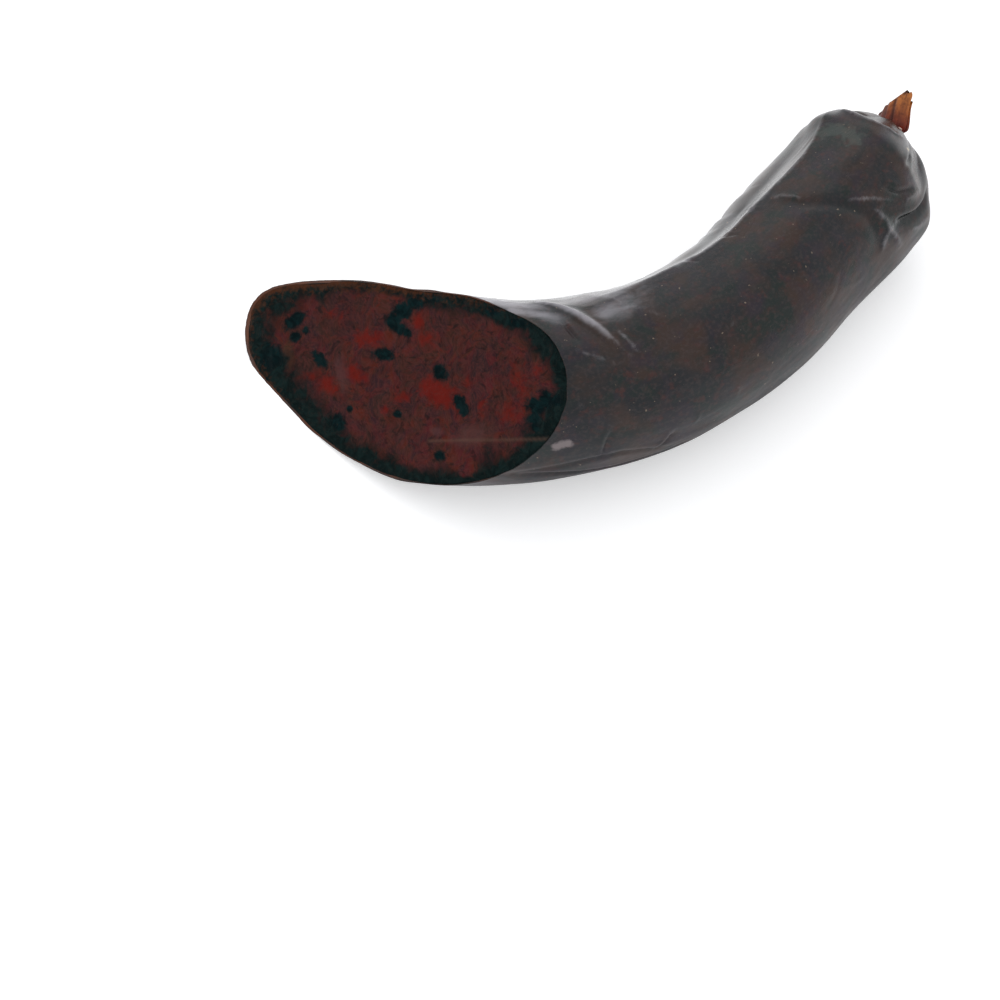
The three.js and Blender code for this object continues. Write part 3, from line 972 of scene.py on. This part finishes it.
def make_meat(material):
    """The filling: the cut face, and the hidden body behind it, as one closed mass."""
    around = lathe_angles()
    inset = SKIN_WALL + MEAT_GAP
    edge = skin_places(rim_along(around, SKIN_WALL), around, inset)
    middle = edge.mean(axis=0)
    rings = np.linspace(0, 1, FACE_RINGS + 1)[1:]
    face = middle + (edge - middle) * rings[:, None, None]
    flat_face = face.reshape(-1, 3)
    across = (flat_face - cut_middle) @ cut_across
    up = (flat_face - cut_middle) @ cut_up
    edge_across = (edge - cut_middle) @ cut_across
    edge_up = (edge - cut_middle) @ cut_up
    to_edge = np.min(np.hypot(across[:, None] - edge_across, up[:, None] - edge_up), axis=1)
    thickness = np.tile(np.interp(around, CRUST_AROUND, CRUST_THICK), FACE_RINGS)
    thickness += 0.7 * ripple(flat_face, 13, 31)
    masks = {
        "black": bit_mask(across, up, BLACK_BITS),
        "bright": bit_mask(across, up, BRIGHT_BITS),
        "pale": bit_mask(across, up, PALE_BITS),
        "amber": bit_mask(across, up, AMBER_BITS),
        "crust": np.clip(1 - 0.5 * to_edge / np.maximum(thickness, 1.2), 0, 1),
        "knife": line_mask(across, up, KNIFE_LINE, KNIFE_WIDTH),
        "rust": np.tile(near_side(around, -165, 75), FACE_RINGS) * np.exp(-to_edge / RUST_REACH),
    }
    bumps = 0.10 * ripple(flat_face, 5.5, 32) + 0.07 * ripple(flat_face, 2.2, 33)
    bumps += 0.18 * ripple(flat_face, 18, 34)
    bumps += 0.10 * smooth(masks["bright"], 0.4, 0.7) + 0.14 * smooth(masks["pale"], 0.4, 0.7)
    bumps -= 0.28 * smooth(masks["black"], 0.42, 0.7)
    bumps += 0.16 * line_mask(across, up, KNIFE_LINE, 0.5) - 0.12
    bumps -= 0.15 * np.exp(-to_edge / 0.5)
    flat_face = flat_face + bumps[:, None] * cut_facing
    flat_face[:, 2] = np.maximum(flat_face[:, 2], SKIN_WALL)

    _, side_places = lining(around, inset, LINING_DEPTH + 0.4)
    places = np.concatenate([flat_face.reshape(face.shape), side_places])
    bm, order = ringed_tube(places)
    bmesh.ops.poke(bm, faces=[f for f in bm.faces if len(f.verts) > 4])
    face_outwards(bm)
    piece = to_object(bm, "filling_meat", material)
    poles = len(piece.data.vertices) - order.size
    for name, mask in masks.items():
        values = np.full(order.size, float(name == "crust"))  # all of the hidden side is crust
        values[order[:mask.size]] = mask
        set_floats(piece.data, name, np.append(values, [mask[:SIDES].mean()] * poles))
    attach(piece, "root")
    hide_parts("filling")
    return piece


# ---------------------------------------------------------------- the tail and its thread
TAIL_SIDES = 96
TAIL_STEPS = 60
TAIL_FOOT = -1.2  # it starts inside the gathered end
TAIL_HALF_WIDTH = 4.2
TAIL_HALF_THICKNESS = 2.3
# How far up the tail is torn off, from its one side (-1) to its other (1)
TAIL_HEIGHTS = ([-1.0, -0.8, -0.62, -0.4, -0.1, 0.2, 0.42, 0.6, 0.85, 1.0],
                [4.0, 6.6, 8.2, 8.9, 9.8, 11.3, 12.3, 12.6, 12.0, 10.2])
THREAD_TURNS = 2
THREAD_RADIUS = 0.24
THREAD_STEPS = 150
THREAD_SIDES = 12
THREAD_FOOT = 2.2  # where it lies up the neck, and how far it climbs
THREAD_RISE = 0.75
THREAD_HALF_WIDTH = 3.35  # of the ring it makes round the neck
THREAD_HALF_THICKNESS = 1.85
STRAND_TWISTS = 7  # in one turn round the neck
STRAND_OFFSET = 0.55 * THREAD_RADIUS
STRAND_RADIUS = 0.9 * THREAD_RADIUS


def neck_frame():
    """The middle of the neck in mm, and the ways up the tail, across it and through it."""
    root = lay(np.array(BODY_LENGTH), 0.0, 0.0)
    ahead = lay(np.array(BODY_LENGTH + 1.0), 0.0, 0.0) - root
    ahead /= np.linalg.norm(ahead)
    heading = CUT_HEADING + BEND_LENGTH / BEND_RADIUS
    across = np.array([math.sin(heading), -math.cos(heading), 0.0])
    across -= ahead * (across @ ahead)
    across /= np.linalg.norm(across)
    return root, ahead, across, np.cross(ahead, across)


def make_tail(material):
    """The dried end of the gut beyond the tie: pleated, flattened and torn off unevenly."""
    root, ahead, across, through = neck_frame()
    bm = straight_tube(TAIL_SIDES, TAIL_STEPS)
    step, around = tube_grid(bm, TAIL_STEPS)
    share = step / TAIL_STEPS
    angle = np.radians(around)
    x = np.cos(angle)
    pleats = 0.34 * np.abs(np.sin(4.5 * angle + 0.8 + 0.5 * share))
    pleats += 0.10 * np.sin(13 * angle + 2 * share) - 0.24
    fullness = 1 + pleats * smooth(share, 0.0, 0.35) * (1 - 0.25 * share)
    waist = 1 - 0.20 * hump(share - 0.24, 0.08)
    width = TAIL_HALF_WIDTH * waist * (1 - 0.16 * smooth(share, 0.3, 1.0)) * fullness
    thickness = TAIL_HALF_THICKNESS * waist * (1 - 0.72 * share ** 0.8) * fullness
    top = np.interp(x, *TAIL_HEIGHTS) + 0.5 * np.sin(7 * angle) + 0.3 * np.sin(17 * angle + 1)
    up = TAIL_FOOT + (top - TAIL_FOOT) * share
    lean = -0.9 * smooth(share, 0.3, 1.0)
    curl = 0.8 * share ** 2
    places = root + np.outer(up, ahead) + np.outer(x * width + lean, across)
    places += np.outer(np.sin(angle) * thickness + curl + 0.25 * np.sin(4 * x + 5 * share) * share, through)
    write_places(bm, places)
    face_outwards(bm)
    piece = to_object(bm, "casing_tail", material)
    set_floats(piece.data, "share", np.clip((up - 2) / 12, 0, 1))
    # mask for the painted shade on one flank of the tail
    set_floats(piece.data, "flank_shade", smooth(-x, 0.45, 0.95) * smooth(share, 0.1, 0.5))
    # mask for the painted shade in the valleys between the pleats
    set_floats(piece.data, "pleat_shade", smooth(-pleats, -0.02, 0.24))
    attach(piece, "root")
    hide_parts("casing")
    return piece


def make_thread(material):
    """Two tight turns of thread round the foot of the tail, each of two twisted strands."""
    root, ahead, across, through = neck_frame()
    strands = []
    for strand in range(2):
        bm = straight_tube(THREAD_SIDES, THREAD_STEPS)
        step, around = tube_grid(bm, THREAD_STEPS)
        angle = np.radians(around)
        share = step / THREAD_STEPS
        turn = TURN * THREAD_TURNS * share
        twist = turn * STRAND_TWISTS + math.pi * strand
        out = STRAND_OFFSET * np.cos(twist) + STRAND_RADIUS * np.cos(angle)
        ring = 1.0 + out / 3.2
        up = THREAD_FOOT + THREAD_RISE * share + STRAND_OFFSET * np.sin(twist) + STRAND_RADIUS * np.sin(angle)
        places = root + np.outer(up, ahead) + np.outer(THREAD_HALF_WIDTH * ring * np.cos(turn), across)
        places += np.outer(THREAD_HALF_THICKNESS * ring * np.sin(turn), through)
        write_places(bm, places)
        face_outwards(bm)
        strands.append(bm)
    whole = bmesh.new()
    for bm in strands:
        spare = bpy.data.meshes.new("strand")
        bm.to_mesh(spare)
        bm.free()
        whole.from_mesh(spare)
        bpy.data.meshes.remove(spare)
    piece = to_object(whole, "tie_thread_turns", material)
    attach(piece, "root")
    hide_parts("tie_thread")
    return piece


# ---------------------------------------------------------------- make everything
make_camera()
make_floor()
make_light()
make_skin(make_gut_over_meat())
make_meat(make_cured_meat())
make_tail(make_dried_gut())
make_thread(make_thread_cotton())
